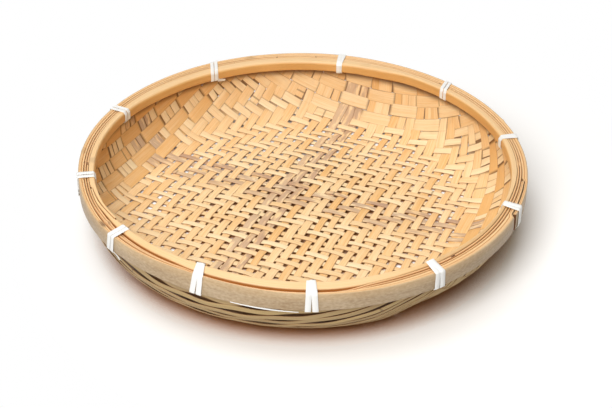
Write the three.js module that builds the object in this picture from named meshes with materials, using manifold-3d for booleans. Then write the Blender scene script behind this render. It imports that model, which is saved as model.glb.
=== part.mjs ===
// A round, shallow bamboo tray. Two families of split strips make the mat, two hoops grip its edge,
// two thin fillers cover the cut ends between the hoops, and white flat bands tie the rim together.
// Millimetres, +Z up. The origin is on the table under the middle of the tray, and -Y is its front.

import * as THREE from 'three';
import { mergeVertices } from 'three/addons/utils/BufferGeometryUtils.js';
import Module from 'manifold-3d';

const wasm = await Module();
wasm.setup();

// The tray as a whole
const rimDiameter = 300;
const trayHeight = 45.5;
const cornerRadius = 32;

// The rim
const outerHoopHeight = 13.5;
const outerHoopThickness = 3.7;
const innerHoopHeight = 7.5;
const innerHoopThickness = 6.6;
const hoopEdge = 1;
const fillerHeight = 4;
const fillerGap = 0.3;
const fillerEndGap = 1.5;
const scarfLength = 40;
const scarfTip = 1.2;
const outerScarfEnd = -24;
const innerScarfEnd = -165;
const fillerEnds = [45.3, -117.5];

// The mat: narrow strips in threes over the floor, wide strips up the walls
const stripThickness = 0.8;
const narrowGap = 2.1;
const wideWidth = 8.4;
const wideGap = 0.6;
const wideTuck = 1;
const stripsPerBundle = 3;
const warp = { name: 'warp', heading: 67, level: 1, bundles: 10, wideLow: 5, wideHigh: 7 };
const weft = { name: 'weft', heading: 157, level: 0, bundles: 11, wideLow: 6, wideHigh: 4 };

// The ties: each is one flat band laid twice round the rim, side by side
const bandWidth = 4;
const bandThickness = 0.5;
const bandSpacing = 0.5;
const tieAzimuths = [79.2, 45, 13.1, -21.1, -56, -87.6, -117.5, -142.9, -171.5, 154.2, 117.6];

// Clearances
const hoopGap = 0.4;
const innerHoopGap = 0.6;
const layerGap = 0.9;
const bandGap = 0.35;
const bandClearOfMat = 1.2;
const slotMargin = 0.5;
const scarfGap = 0.4;

// Mesh fineness
const hoopSegments = 64;
const scarfSegments = 5;
const narrowWallSegments = 8;
const wideWallSegments = 9;
const tiedSegments = 2;

// Radii and heights that follow
const rimRadius = rimDiameter / 2;
const outerHoopInside = rimRadius - outerHoopThickness;
const matThickness = 2 * stripThickness + layerGap;
const matRadius = outerHoopInside - hoopGap;
const innerHoopOutside = matRadius - matThickness - innerHoopGap;
const innerHoopInside = innerHoopOutside - innerHoopThickness;
const outerHoopBottom = trayHeight - outerHoopHeight;
const innerHoopBottom = trayHeight - innerHoopHeight;
const fillerBottom = trayHeight - fillerHeight;
const bandAway = bandGap + bandThickness / 2;
const fillerThickness = (outerHoopInside - innerHoopOutside - 3 * fillerGap) / 2;

// The faces of the hoops that show, as shares of the thickness and heights: the outer one from its bottom
// to its top, the inner one with its broad rounding from its top to its bottom
const outerHoopFace = [
  [0.85, outerHoopBottom],
  [1, outerHoopBottom + hoopEdge],
  [1, trayHeight - hoopEdge],
  [0.75, trayHeight],
];
const innerHoopFace = [
  [0.35, trayHeight],
  [0.1, trayHeight - hoopEdge],
  [0, trayHeight - 3 * hoopEdge],
  [0, innerHoopBottom + hoopEdge],
  [0.15, innerHoopBottom],
];

// The mat is laid out flat, and each flat distance from its centre becomes a length along this profile
const floorRadius = matRadius - cornerRadius;
const cornerReach = floorRadius + (cornerRadius * Math.PI) / 2;
const matReach = cornerReach + fillerBottom - hoopGap - cornerRadius;

const bambooCore = { color: 0xe9c793, roughness: 0.6 };
const bambooSplit = { color: 0xf0cf9c, roughness: 0.65 };
const bambooGold = { color: 0xe2b67c, roughness: 0.65 };
const bambooSkin = { color: 0xcdb591, roughness: 0.45 };
const whiteBand = { color: 0xf6f5f1, roughness: 0.4 };

const tray = new THREE.Group();

function addPiece(name, geometry, look) {
  const mesh = new THREE.Mesh(geometry, new THREE.MeshStandardMaterial({ ...look, metalness: 0 }));
  mesh.name = name;
  tray.add(mesh);
  return mesh;
}

function numbered(name, index) {
  return `${name}_${String(index + 1).padStart(2, '0')}`;
}

function geometryOf(points, triangles) {
  const geometry = new THREE.BufferGeometry();
  geometry.setAttribute('position', new THREE.Float32BufferAttribute(points, 3));
  geometry.setIndex(triangles);
  geometry.computeVertexNormals();
  return geometry;
}

function solidOf(geometry) {
  const bare = geometry.clone();
  bare.deleteAttribute('normal');
  bare.deleteAttribute('uv');
  const merged = mergeVertices(bare);
  const mesh = new wasm.Mesh({
    numProp: 3,
    vertProperties: new Float32Array(merged.attributes.position.array),
    triVerts: new Uint32Array(merged.index.array),
  });
  return new wasm.Manifold(mesh);
}

// What is left of a piece after a cut, without the loose scraps
function cutGeometry(geometry, cutter) {
  const bodies = solidOf(geometry).subtract(cutter).decompose();
  bodies.sort((a, b) => b.volume() - a.volume());
  const mesh = bodies[0].getMesh();
  return geometryOf(Array.from(mesh.vertProperties), Array.from(mesh.triVerts));
}

// A closed solid through a row of sections with equal numbers of corners, listed anticlockwise
// as seen by someone who looks back along the row
function sweep(sections) {
  const corners = sections[0].length;
  const points = sections.flat().flatMap((corner) => corner.toArray());
  const triangles = [];
  for (let row = 0; row < sections.length - 1; row += 1) {
    for (let corner = 0; corner < corners; corner += 1) {
      const next = (corner + 1) % corners;
      const a = row * corners + corner;
      const b = row * corners + next;
      triangles.push(a, b, b + corners, a, b + corners, a + corners);
    }
  }
  const last = (sections.length - 1) * corners;
  for (let corner = 1; corner < corners - 1; corner += 1) {
    triangles.push(0, corner + 1, corner);
    triangles.push(last, last + corner, last + corner + 1);
  }
  return geometryOf(points, triangles);
}

// A point of a ring's section: radius, height and azimuth in radians
function ringPoint(radius, height, azimuth) {
  return new THREE.Vector3(radius * Math.cos(azimuth), radius * Math.sin(azimuth), height);
}

// A hoop bent from one strip that runs clockwise from above and laps over its own start in a long scarf.
// The outline gives each corner as a share of the thickness, from inside to outside, and a height.
function lappedHoop(inside, outside, outline, scarfEnd) {
  const lap = scarfLength / outside;
  const step = (2 * Math.PI) / hoopSegments;
  const start = THREE.MathUtils.degToRad(scarfEnd) + lap;
  const scarfFrom = inside + scarfTip;
  const scarfTo = outside - scarfTip - scarfGap;
  const stations = [];
  for (let i = 0; i <= scarfSegments; i += 1) {
    const share = i / scarfSegments;
    stations.push({ turn: share * lap, inside, outside: THREE.MathUtils.lerp(scarfFrom, scarfTo, share) });
  }
  const plainTurn = 2 * Math.PI - lap - 2 * step;
  const plainSegments = Math.round(plainTurn / step);
  for (let i = 0; i <= plainSegments; i += 1) {
    stations.push({ turn: lap + step + (plainTurn * i) / plainSegments, inside, outside });
  }
  for (let i = 0; i <= scarfSegments; i += 1) {
    const share = i / scarfSegments;
    const lapped = THREE.MathUtils.lerp(scarfFrom, scarfTo, share) + scarfGap;
    stations.push({ turn: 2 * Math.PI + share * lap, inside: lapped, outside });
  }
  const sections = stations.map((station) =>
    outline.map(([share, height]) =>
      ringPoint(THREE.MathUtils.lerp(station.inside, station.outside, share), height, start - station.turn),
    ),
  );
  return sweep(sections);
}

function outerHoop() {
  const outline = [[0, outerHoopBottom], ...outerHoopFace, [0, trayHeight]];
  return lappedHoop(outerHoopInside, rimRadius, outline, outerScarfEnd);
}

function innerHoop() {
  const outline = [[1, innerHoopBottom], [1, trayHeight], ...innerHoopFace];
  return lappedHoop(innerHoopInside, innerHoopOutside, outline, innerScarfEnd);
}

// A thin upright strip bent into a ring, whose ends nearly meet
function filler(inside, endAzimuth) {
  const outside = inside + fillerThickness;
  const middle = THREE.MathUtils.degToRad(endAzimuth);
  const halfGap = fillerEndGap / 2 / inside;
  const sections = [];
  for (let i = 0; i <= hoopSegments; i += 1) {
    const azimuth = middle - halfGap - ((2 * Math.PI - 2 * halfGap) * i) / hoopSegments;
    sections.push([
      ringPoint(inside, fillerBottom, azimuth),
      ringPoint(outside, fillerBottom, azimuth),
      ringPoint(outside, trayHeight, azimuth),
      ringPoint(inside, trayHeight, azimuth),
    ]);
  }
  return sweep(sections);
}

// The place on the mat's outside at a flat distance from the centre, and the direction into the tray there
function profileAt(reach) {
  const turn = THREE.MathUtils.clamp((reach - floorRadius) / cornerRadius, 0, Math.PI / 2);
  const climb = Math.max(0, reach - cornerReach);
  return {
    radius: Math.min(reach, floorRadius) + cornerRadius * Math.sin(turn),
    height: cornerRadius * (1 - Math.cos(turn)) + climb,
    inward: -Math.sin(turn),
    upward: Math.cos(turn),
  };
}

// The flat distance from the centre at which the mat's outside comes to a height
function reachAt(height) {
  const turn = Math.acos(Math.max(0, 1 - height / cornerRadius));
  return floorRadius + cornerRadius * turn + Math.max(0, height - cornerRadius);
}

// A point of the bent mat from its place on the flat mat and its lift from the mat's outside
function matPoint(family, across, along, lift) {
  const heading = THREE.MathUtils.degToRad(family.heading);
  const flatX = across * Math.sin(heading) + along * Math.cos(heading);
  const flatY = along * Math.sin(heading) - across * Math.cos(heading);
  const spot = profileAt(Math.hypot(flatX, flatY));
  const radius = spot.radius + lift * spot.inward;
  return ringPoint(radius, spot.height + lift * spot.upward, Math.atan2(flatY, flatX));
}

// Stations along a line of the flat mat: one stretch over the floor, short steps up both walls
function alongStations(across, segments) {
  const end = Math.sqrt(matReach ** 2 - across ** 2);
  const level = Math.sqrt(Math.max(0, floorRadius ** 2 - across ** 2));
  const start = Math.max(level, end / (2 * segments + 1));
  const climb = [];
  for (let i = 0; i <= segments; i += 1) {
    climb.push(start + ((end - start) * i) / segments);
  }
  return [...climb.map((along) => -along).reverse(), ...climb];
}

// Strips side by side between the given edges, with the stations along each edge. The gaps between them
// are closed at both ends of the run, where the strips crowd together in the rim.
function stripGeometry(family, edges, lines) {
  const low = family.level * (stripThickness + layerGap);
  const rows = lines[0].length;
  const points = [];
  for (let line = 0; line < edges.length; line += 1) {
    for (const along of lines[line]) {
      points.push(...matPoint(family, edges[line], along, low).toArray());
      points.push(...matPoint(family, edges[line], along, low + stripThickness).toArray());
    }
  }
  const bottom = (line, row) => 2 * (line * rows + row);
  const top = (line, row) => bottom(line, row) + 1;
  const filled = (column, row) => {
    const inside = column >= 0 && column < edges.length - 1 && row >= 0 && row < rows - 1;
    const tied = row < tiedSegments || row >= rows - 1 - tiedSegments;
    return inside && (column % 2 === 0 || tied);
  };
  const triangles = [];
  const quad = (a, b, c, d) => triangles.push(a, b, c, a, c, d);
  for (let i = 0; i < edges.length - 1; i += 1) {
    for (let k = 0; k < rows - 1; k += 1) {
      if (!filled(i, k)) continue;
      quad(top(i, k), top(i + 1, k), top(i + 1, k + 1), top(i, k + 1));
      quad(bottom(i, k), bottom(i, k + 1), bottom(i + 1, k + 1), bottom(i + 1, k));
      if (!filled(i - 1, k)) quad(bottom(i, k), top(i, k), top(i, k + 1), bottom(i, k + 1));
      if (!filled(i + 1, k)) quad(bottom(i + 1, k), bottom(i + 1, k + 1), top(i + 1, k + 1), top(i + 1, k));
      if (!filled(i, k - 1)) quad(bottom(i, k), bottom(i + 1, k), top(i + 1, k), top(i, k));
      if (!filled(i, k + 1)) quad(bottom(i, k + 1), top(i, k + 1), top(i + 1, k + 1), bottom(i + 1, k + 1));
    }
  }
  return geometryOf(points, triangles);
}

// Flat distance from the centre to the top edge of the last wide strip, tucked behind the outer hoop
function wallReach() {
  return reachAt(outerHoopBottom + wideTuck);
}

// Edges of three narrow strips of the run that fills the mat between the wide strips of both sides
function bundleEdges(family, bundle) {
  const start = family.wideLow * (wideWidth + wideGap) - wallReach();
  const end = wallReach() - family.wideHigh * (wideWidth + wideGap);
  const pitch = (end - start) / (family.bundles * stripsPerBundle);
  const edges = [];
  for (let i = 0; i < stripsPerBundle; i += 1) {
    const lane = start + (bundle * stripsPerBundle + i) * pitch;
    edges.push(lane + narrowGap / 2, lane + pitch - narrowGap / 2);
  }
  return edges;
}

// Edges of the wide strips of one side, counted down from the rim
function wideEdges(side, count) {
  const strips = [];
  for (let i = 0; i < count; i += 1) {
    const far = side * (wallReach() - i * (wideWidth + wideGap) - wideGap / 2);
    const near = far - side * wideWidth;
    strips.push([Math.min(near, far), Math.max(near, far)]);
  }
  return strips;
}

function addFamily(family, slots, look) {
  const add = (name, edges, lines) =>
    addPiece(name, cutGeometry(stripGeometry(family, edges, lines), slots), look);
  for (let bundle = 0; bundle < family.bundles; bundle += 1) {
    const edges = bundleEdges(family, bundle);
    const lines = edges.map((edge) => alongStations(edge, narrowWallSegments));
    add(numbered(`${family.name}_strips`, bundle), edges, lines);
  }
  const wide = [...wideEdges(-1, family.wideLow), ...wideEdges(1, family.wideHigh)];
  wide.forEach((edges, index) => {
    const squareCut = alongStations(Math.max(...edges.map(Math.abs)), wideWallSegments);
    add(numbered(`${family.name}_wall_strip`, index), edges, [squareCut, squareCut]);
  });
}

// Where the middle of a tie's band runs round the rim's section, as radius and height, from under the
// outer hoop up and over the rim to the inside of the mat
function bandRoute() {
  const corners = [
    ...outerHoopFace.map(([share, height]) => [outerHoopInside + share * outerHoopThickness, height]),
    ...innerHoopFace.map(([share, height]) => [innerHoopInside + share * innerHoopThickness, height]),
  ].map(([radius, height]) => new THREE.Vector2(radius, height));
  const start = new THREE.Vector2(outerHoopInside + bandClearOfMat, outerHoopBottom);
  const end = new THREE.Vector2(innerHoopOutside - bandClearOfMat, outerHoopBottom);
  const outline = [start, ...corners, end];
  const route = corners.map((corner, index) => {
    const arrive = rightOf(outline[index], corner);
    const leave = rightOf(corner, outline[index + 2]);
    const mitre = arrive.clone().add(leave).normalize();
    return corner.clone().addScaledVector(mitre, bandAway / mitre.dot(arrive));
  });
  start.y -= bandAway;
  end.y -= bandAway;
  return [start, ...route, end];
}

// The unit direction to the right of a step from one point of the section to the next
function rightOf(from, to) {
  return new THREE.Vector2(to.y - from.y, from.x - to.x).normalize();
}

// Sections of one unbroken band: a first turn, a slanting pass through the slot in the mat, and a second
// turn beside it
function tieSections() {
  const turn = bandRoute();
  const side = (bandWidth + bandSpacing) / 2;
  const route = [
    ...turn.map((spot) => ({ spot, offset: -side })),
    ...turn.map((spot) => ({ spot, offset: side })),
  ];
  return route.map(({ spot, offset }, index) => {
    const before = route[Math.max(0, index - 1)].spot;
    const after = route[Math.min(route.length - 1, index + 1)].spot;
    const half = rightOf(before, after).multiplyScalar(bandThickness / 2);
    const outer = spot.clone().add(half);
    const inner = spot.clone().sub(half);
    const left = offset - bandWidth / 2;
    const right = offset + bandWidth / 2;
    return [
      new THREE.Vector3(outer.x, left, outer.y),
      new THREE.Vector3(outer.x, right, outer.y),
      new THREE.Vector3(inner.x, right, inner.y),
      new THREE.Vector3(inner.x, left, inner.y),
    ];
  });
}

// The least distance between corners of the first turn and corners of the second
function leastGap(sections) {
  const half = sections.length / 2;
  const first = sections.slice(0, half - 1).flat();
  const second = sections.slice(half).flat();
  return Math.min(...first.map((corner) => Math.min(...second.map((other) => corner.distanceTo(other)))));
}

// The slots in the mat that the bands pass, open at its edge, as one cutting solid
function tieSlots() {
  const width = 2 * bandWidth + bandSpacing + 2 * slotMargin;
  const bottom = outerHoopBottom - bandAway - bandThickness / 2 - slotMargin;
  const slots = tieAzimuths.map((degrees) => {
    const slot = new THREE.BoxGeometry(2 * cornerRadius, width, trayHeight - bottom);
    slot.translate(matRadius, 0, (trayHeight + bottom) / 2);
    slot.rotateZ(THREE.MathUtils.degToRad(degrees));
    return solidOf(slot);
  });
  return slots.reduce((all, slot) => all.add(slot));
}

const slots = tieSlots();
addFamily(warp, slots, bambooGold);
addFamily(weft, slots, bambooSplit);
addPiece('outer_hoop', outerHoop(), bambooSkin);
addPiece('inner_hoop', innerHoop(), bambooCore);
addPiece('inner_filler', filler(innerHoopOutside + fillerGap, fillerEnds[0]), bambooCore);
addPiece('outer_filler', filler(outerHoopInside - fillerGap - fillerThickness, fillerEnds[1]), bambooSplit);
tieAzimuths.forEach((degrees, index) => {
  const tie = addPiece(numbered('tie', index), sweep(tieSections()), whiteBand);
  tie.rotation.z = THREE.MathUtils.degToRad(degrees);
});

console.log(`least gap between the two turns of a tie: ${leastGap(tieSections()).toFixed(2)} mm`);

export default tray;
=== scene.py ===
"""A round bamboo tray basket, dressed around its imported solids.

The mat is laid out flat in two families of strips, warp and weft, that pass over and under each other.
The flat mat is bent up round the edge of the floor and gripped between two hoops, with two thin fillers
between them, and white flat bands tie the rim. Metres, +Z up, and -Y is the front of the tray.
"""

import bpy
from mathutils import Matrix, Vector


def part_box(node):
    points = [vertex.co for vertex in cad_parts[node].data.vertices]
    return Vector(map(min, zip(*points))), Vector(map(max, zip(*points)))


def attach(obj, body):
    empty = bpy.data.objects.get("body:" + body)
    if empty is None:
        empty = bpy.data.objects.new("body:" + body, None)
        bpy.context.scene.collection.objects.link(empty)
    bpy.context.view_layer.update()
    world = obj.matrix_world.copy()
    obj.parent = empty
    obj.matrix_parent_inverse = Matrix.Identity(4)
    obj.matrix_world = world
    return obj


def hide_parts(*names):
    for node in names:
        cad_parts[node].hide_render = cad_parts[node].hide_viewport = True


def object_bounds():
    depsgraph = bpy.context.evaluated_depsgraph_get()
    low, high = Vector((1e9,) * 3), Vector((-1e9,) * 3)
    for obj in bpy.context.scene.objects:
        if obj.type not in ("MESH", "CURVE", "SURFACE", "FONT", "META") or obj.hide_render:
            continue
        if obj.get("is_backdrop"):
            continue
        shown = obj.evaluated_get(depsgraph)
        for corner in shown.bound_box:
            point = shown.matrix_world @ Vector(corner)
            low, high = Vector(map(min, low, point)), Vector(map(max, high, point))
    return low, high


bl_info = {
    "name": "Bamboo Tray Basket",
    "version": (1, 0, 0),
    "blender": (4, 5, 0),
    "location": "3D View > Sidebar > Tray",
    "description": "Weaves a round bamboo tray and binds its rim",
    "category": "Object",
}

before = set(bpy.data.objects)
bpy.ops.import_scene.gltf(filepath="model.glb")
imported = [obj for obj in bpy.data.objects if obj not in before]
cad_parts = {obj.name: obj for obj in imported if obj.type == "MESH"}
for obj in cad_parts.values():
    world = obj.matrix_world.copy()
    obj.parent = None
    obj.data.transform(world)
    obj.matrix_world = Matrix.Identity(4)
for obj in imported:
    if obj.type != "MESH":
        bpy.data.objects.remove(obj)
cad_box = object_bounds()

import math
import random
from dataclasses import dataclass

import bmesh
import bpy
from bpy.props import FloatProperty, FloatVectorProperty, IntProperty, PointerProperty
from mathutils import Matrix, Vector


def ring_radii(node_name):
    """Least and greatest distance of a node's corners from the tray's axis."""
    distances = [corner.co.xy.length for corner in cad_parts[node_name].data.vertices]
    return min(distances), max(distances)


def node_names(start):
    """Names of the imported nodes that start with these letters, in order."""
    return sorted(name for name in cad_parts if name.startswith(start))


def azimuth_of(node_name):
    """Angle round the tray's axis of the middle of a node's box."""
    low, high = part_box(node_name)
    return math.atan2(low[1] + high[1], low[0] + high[0])


# The rim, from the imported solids
OUTER_HOOP_INSIDE, RIM_RADIUS = ring_radii("outer_hoop")
INNER_HOOP_INSIDE, INNER_HOOP_OUTSIDE = ring_radii("inner_hoop")
RIM_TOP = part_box("outer_hoop")[1][2]
OUTER_HOOP_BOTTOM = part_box("outer_hoop")[0][2]
INNER_HOOP_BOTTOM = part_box("inner_hoop")[0][2]
FILLER_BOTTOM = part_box("inner_filler")[0][2]
TIE_AZIMUTHS = [azimuth_of(name) for name in node_names("tie_")]

# The mat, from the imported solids
MAT_RADIUS = ring_radii("weft_strips_06")[1]
MAT_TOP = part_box("weft_strips_06")[1][2]


def tone(red, green, blue):
    """Linear colour of a display colour with parts from 0 to 255."""
    parts = (red / 255, green / 255, blue / 255)
    return tuple(part / 12.92 if part <= 0.04045 else ((part + 0.055) / 1.055) ** 2.4 for part in parts)


def share_between(value, low, high):
    """Share from 0 to 1 of the way from the low value to the high one."""
    return max(0.0, min(1.0, (value - low) / (high - low)))


def rise(value, low, high):
    """Smooth rise from 0 at the low value to 1 at the high one."""
    share = share_between(value, low, high)
    return share * share * (3 - 2 * share)


def length_property(name, description, default):
    """A size in metres that a maker would change."""
    return FloatProperty(name=name, description=description, default=default, unit="LENGTH", precision=5)


def colour_property(name, description, default):
    """A colour that a maker would change."""
    return FloatVectorProperty(
        name=name, description=description, default=default, subtype="COLOR", min=0, max=1
    )


class TraySizes(bpy.types.PropertyGroup):
    """Sizes of the tray that a maker would change"""

    corner_radius: length_property("Corner radius", "Bend of the mat from its floor up to its wall", 0.032)
    strip_thickness: length_property("Strip thickness", "Thickness of a split strip", 0.00055)
    strip_shoulder: length_property("Strip shoulder", "Breadth of the rounded edge of a strip", 0.0004)
    strip_wander: length_property("Strip wander", "How far a strip strays sideways along its run", 0.0004)
    weave_depth: length_property("Weave depth", "Rise and fall of a strip from the middle of the mat", 0.0004)
    weave_middle: length_property("Weave middle", "Height of the middle of the mat over its outside", 0.00085)
    floor_rise: length_property("Floor rise", "How far the middle of the floor stands off the table", 0.0025)
    warp_gap: length_property("Warp gap", "Gap between two narrow warp strips on the floor", 0.0021)
    weft_gap: length_property("Weft gap", "Gap between two narrow weft strips on the floor", 0.0029)
    wide_width: length_property("Wide width", "Width of a wide wall strip", 0.0094)
    wide_gap: length_property("Wide gap", "Gap between two wide strips, or their lap if below 0", -0.0004)
    wide_tuck: length_property("Wide tuck", "How far the last wide strip goes behind the hoop", 0.001)
    row_gap: length_property("Row gap", "Mean gap between two rows of the front wall", 0.0014)
    band_width: length_property("Band width", "Width of a white tie band", 0.0037)
    band_thickness: length_property("Band thickness", "Thickness of a white tie band", 0.0005)
    stations: IntProperty(name="Stations", description="Cross sections along a strip", default=220, min=20)


class TrayColours(bpy.types.PropertyGroup):
    """Colours of the tray's bamboo and bands"""

    warp_pale: colour_property("Warp pale", "Palest golden split of the warp", tone(254, 222, 173))
    warp_deep: colour_property("Warp deep", "Deepest golden split of the warp", tone(239, 188, 121))
    weft_pale: colour_property("Weft pale", "Palest cream split of the weft", tone(255, 230, 186))
    weft_deep: colour_property("Weft deep", "Deepest cream split of the weft", tone(243, 202, 145))
    stain: colour_property("Stain", "Purple-grey stain on a few strips", tone(172, 136, 118))
    # The cut edges' own brown, deepened so that it also stands in for the shade in the holes between strips
    split_edge: colour_property("Split edge", "Brown of the cut edges of a strip", tone(142, 70, 20))
    # Painted shade: this brown stands in for the shade in the walls' gaps, close under the rim and behind the
    # front rows
    shade: colour_property("Shade", "Deep brown in the walls' gaps and under the rim", tone(82, 33, 6))
    strip_skin: colour_property("Strip skin", "Outside of the strips", tone(198, 170, 118))
    hoop_skin_pale: colour_property("Hoop skin pale", "Pale skin of the outer hoop", tone(196, 174, 144))
    hoop_skin_deep: colour_property("Hoop skin deep", "Dark skin of the outer hoop", tone(160, 132, 98))
    core_pale: colour_property("Core pale", "Pale fibres of the hoops", tone(246, 210, 160))
    core_deep: colour_property("Core deep", "Dark fibres of the hoops", tone(234, 188, 127))
    hoop_face_pale: colour_property("Hoop face pale", "Pale face of the inner hoop", tone(236, 184, 114))
    hoop_face_deep: colour_property("Hoop face deep", "Dark face of the inner hoop", tone(210, 152, 82))
    # Painted shade on the faces in the gaps between the rim's parts and in the notch of the outer hoop's top;
    # the hoops' cut ends take it too
    groove_shade: colour_property("Groove", "Brown between the parts of the rim", tone(184, 116, 56))
    seam: colour_property("Seam", "Dark brown of nodes and cut ends", tone(92, 58, 34))
    band: colour_property("Band", "White of the tie bands", tone(250, 250, 248))
    band_shade: colour_property("Band shade", "Greyer ribs of the tie bands", tone(230, 230, 227))


@dataclass(frozen=True)
class Family:
    """Strips that run the same way: narrow ones over the floor, and wide ones up the walls on its low and
    its high side. Its stains lie on the narrow strips near one place across."""

    name: str
    is_warp: bool
    narrow: int
    wide_low: int
    wide_high: int
    stained_at: float


WARP = Family("warp", True, 30, 5, 7, -0.018)
WEFT = Family("weft", False, 33, 6, 4, 0.021)
STRIPS_IN_GROUP = 3

# The way that the warp runs, from +X towards +Y
WARP_HEADING = math.radians(67)

# How strips differ by hand: their place, their width as a share, their tint, their stains and their nodes
STRIP_STRAY = 0.0003
NARROW_UNEVENNESS = 0.13
WIDE_UNEVENNESS = 0.015
TINT_SPREAD = 0.5
STAIN_REACH = 0.0125
STAIN_LEAST = 0.6
KNOT_REACH = 0.2

# A node of a strip: how far it reaches along the strip and how much thicker the strip is there
KNOT_HALF_LENGTH = 0.0016
KNOT_SWELL = 0.0003

# Between which heights the painted shade in the walls' gaps and in the room close under the rim comes to its
# full strength, and between which distances from a strip's node its dark ring fades
WALL_SHADE = (0.004, 0.014)
RIM_SHADE = (0.0285, 0.0342)
KNOT_RING = (0.0003, 0.001)

# A strip starts as a box of width 1 with four lines of points across, and the outer two are its thin edges
BLANK_LINES = 4
EDGE_BEYOND = 0.3
EDGE_THINNING = 0.5


@dataclass(frozen=True)
class Ripple:
    """A wave along a strip: radians per metre, how far its start differs between strips, and its share."""

    per_metre: float
    shift: float
    share: float


# How a strip's edges and its run wave, the edges as a share of its width, and how much calmer wide strips are
EDGE_RIPPLES = (Ripple(95, 50, 0.6), Ripple(240, 120, 0.4))
EDGE_RIPPLE_SHARE = 0.09
WIDE_EDGE_CALM = 0.8
STRAY_RIPPLES = (Ripple(52, 40, 1.0), Ripple(117, 90, 0.5))
WIDE_STRAY_CALM = 0.7

# How steeply a strip passes from over to under, among narrow strips and among wide ones or threes
TWILL_STEEPNESS = 1.7
TURN_STEEPNESS = 2.6

# Up the walls narrow strips get broader, less so where wide ones cross them, and each three closes up.
# The wall counts from this far before the floor's edge to this far past it
WALL_SPREAD = 0.38
CROWDED_LOSS = 0.35
GATHERING = 0.14
WALL_FROM = -0.006
WALL_TO = 0.022

# Up the front wall the weft stands in more and narrower rows outside a broader warp. They taper to the left
FRONT_ROWS = 10
FRONT_WARP_SPREAD = 0.8
FRONT_WARP_DEPTH = 0.0009
ROW_STAGGER = 0.00015
ROW_TAPER = 0.22
ROW_TAPER_FROM = 0.03
ROW_TAPER_TO = 0.08

# These rows swing apart and together, less towards the right and in the upper rows
ROW_SWING = 0.0013
ROW_SWING_LANES = 5
ROW_SWING_SHIFT = 0.9
RIGHT_CALM = 0.8
RIGHT_CALM_FROM = 0.045
RIGHT_CALM_TO = 0.09
UPPER_CALM = 0.5
UPPER_CALM_FROM = 5
UPPER_CALM_TO = 7

# How the hand-woven grid departs from a square one, per metre: the weft bows towards the front, most of all
# up the front wall, and the warp closes up towards the back
WEFT_BOW = 0.42
FRONT_BOW = 2.3
FRONT_BOW_FROM = 0.075
FRONT_BOW_TO = 0.14
WARP_FAN = 0.45

# The least distance from the middle of the mat, so that nothing is divided by zero
LEAST_REACH = 0.00001

# A strip's end is looked for as far as this share of the mat's reach, by halving
LONGEST_STRIP = 1.3
HALVINGS = 40

# The foot of the wall turns up sooner at the right front: which way, how far, between which distances from
# the middle and below which height
RAISED_TOWARDS = math.radians(-28)
FOOT_RAISE = 0.0058
RAISED_FROM = 0.102
RAISED_TO = 0.121
RAISED_BELOW = 0.034


@dataclass(frozen=True)
class Stretch:
    """A stretch of the rim: its middle and its reach to each side in degrees, and how square its ends are."""

    middle: float
    reach: float
    squareness: float = 2


# The rim's top leans in and is raised at the front left. The outer hoop's inside takes a share of the lean
RIM_LEAN = 0.0037
LEAN_SHARE_INSIDE = 0.35
LEANING = Stretch(-113, 28)
RIM_LIFT = 0.0018
LIFTED = Stretch(-116, 16)

# In front the rim's top slopes down to the outer hoop, between these shares of the way to the front
RIM_SLOPE = 0.0021
SLOPED_FROM = 0.1
SLOPED_TO = 0.6

# The outer hoop is narrower at the front left, from a distance inside it, and what lies this far below it is
# left as it is
HOOP_NARROWING = 0.0026
NARROWED = Stretch(-124, 24)
NARROWED_FROM = OUTER_HOOP_INSIDE - 0.002
SETTLED_BELOW = 0.006
FULLY_BENT_SHARE = 0.3

# The inner hoop is thinner at both sides, between these shares of the way to the right and to the left
HOOP_THINNING = 0.0025
THIN_RIGHT = (0.38, 0.55)
THIN_LEFT = (0.7, 0.95)
INNER_BENT_FROM = INNER_HOOP_BOTTOM - 0.004
INNER_BENT_TO = INNER_HOOP_BOTTOM - 0.0005

# In front the inner hoop is broad up to a sunk seam, at the left front it parts from the fillers, and at the
# right front the seam moves in beside both hoops
HOOP_SEAM = 0.0026
SEAM_DEPTH = 0.0022
SEAM_EDGE = 0.0002
BROADENED = Stretch(-97, 21, 8)
HOOP_PARTING = 0.0016
PARTING_DEPTH_SHARE = 0.7
PARTED = Stretch(-138, 18, 8)
SEAM_INSET = 0.0021
OUTER_BROADENING = 0.0016
INSET = Stretch(-42, 32, 6)

# The two fillers: their play, how far they stand below the rim's top, the gap beside each end, and where in
# degrees their ends meet
FILLER_SLACK = 0.00004
FILLER_DROP = 0.0004
FILLER_END_GAP = 0.00075
INNER_FILLER_END = 45.3
OUTER_FILLER_END = -117.5

# Where the bamboo's nodes lie round the hoops, in degrees, and how dark they are
OUTER_HOOP_NODES = {-149.2: 1.0, 105.9: 0.3, 176.3: 0.3, 22: 0.25}
INNER_HOOP_NODES = {-178.9: 0.3, 71: 0.3, -52: 0.3}
FILLER_NODES = {-0.3: 0.3, -149.2: 1.0}

# A node of a hoop: its reach, the breadth of the dark ring round it, how far it swells out and up, and how
# fast the ring fades towards the hoop's face
NODE_REACH = 0.0016
NODE_RING = 0.0006
NODE_SWELL = 0.0004
NODE_RISE = 0.0003
NODE_FADE = 1.4

# The laps of the hoops' ends
OUTER_SCARF_END = -24
INNER_SCARF_END = -165
SCARF_LENGTH = 0.04
SCARF_TIP = 0.0016
SCARF_GAP = 0.0004
END_TURN = 0.0001

# How finely the rim is made, and how many waves its edges have round the rim
HOOP_STATIONS = 260
FILLER_STATIONS = 240
SCARF_STATIONS = 12
HOOP_ROUNDING = 4
BAND_ROUNDING = 5
NEARLY_STRAIGHT = 3.1
SWAY_WAVES = (2, 5, 9)


@dataclass(frozen=True)
class Lay:
    """How a tie lies: its shift round the rim, its slant towards the inside, the breadth of its two turns and
    the slit between them on top of the rim."""

    shift: float
    slant: float
    breadth: float
    slit: float = 0


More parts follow.
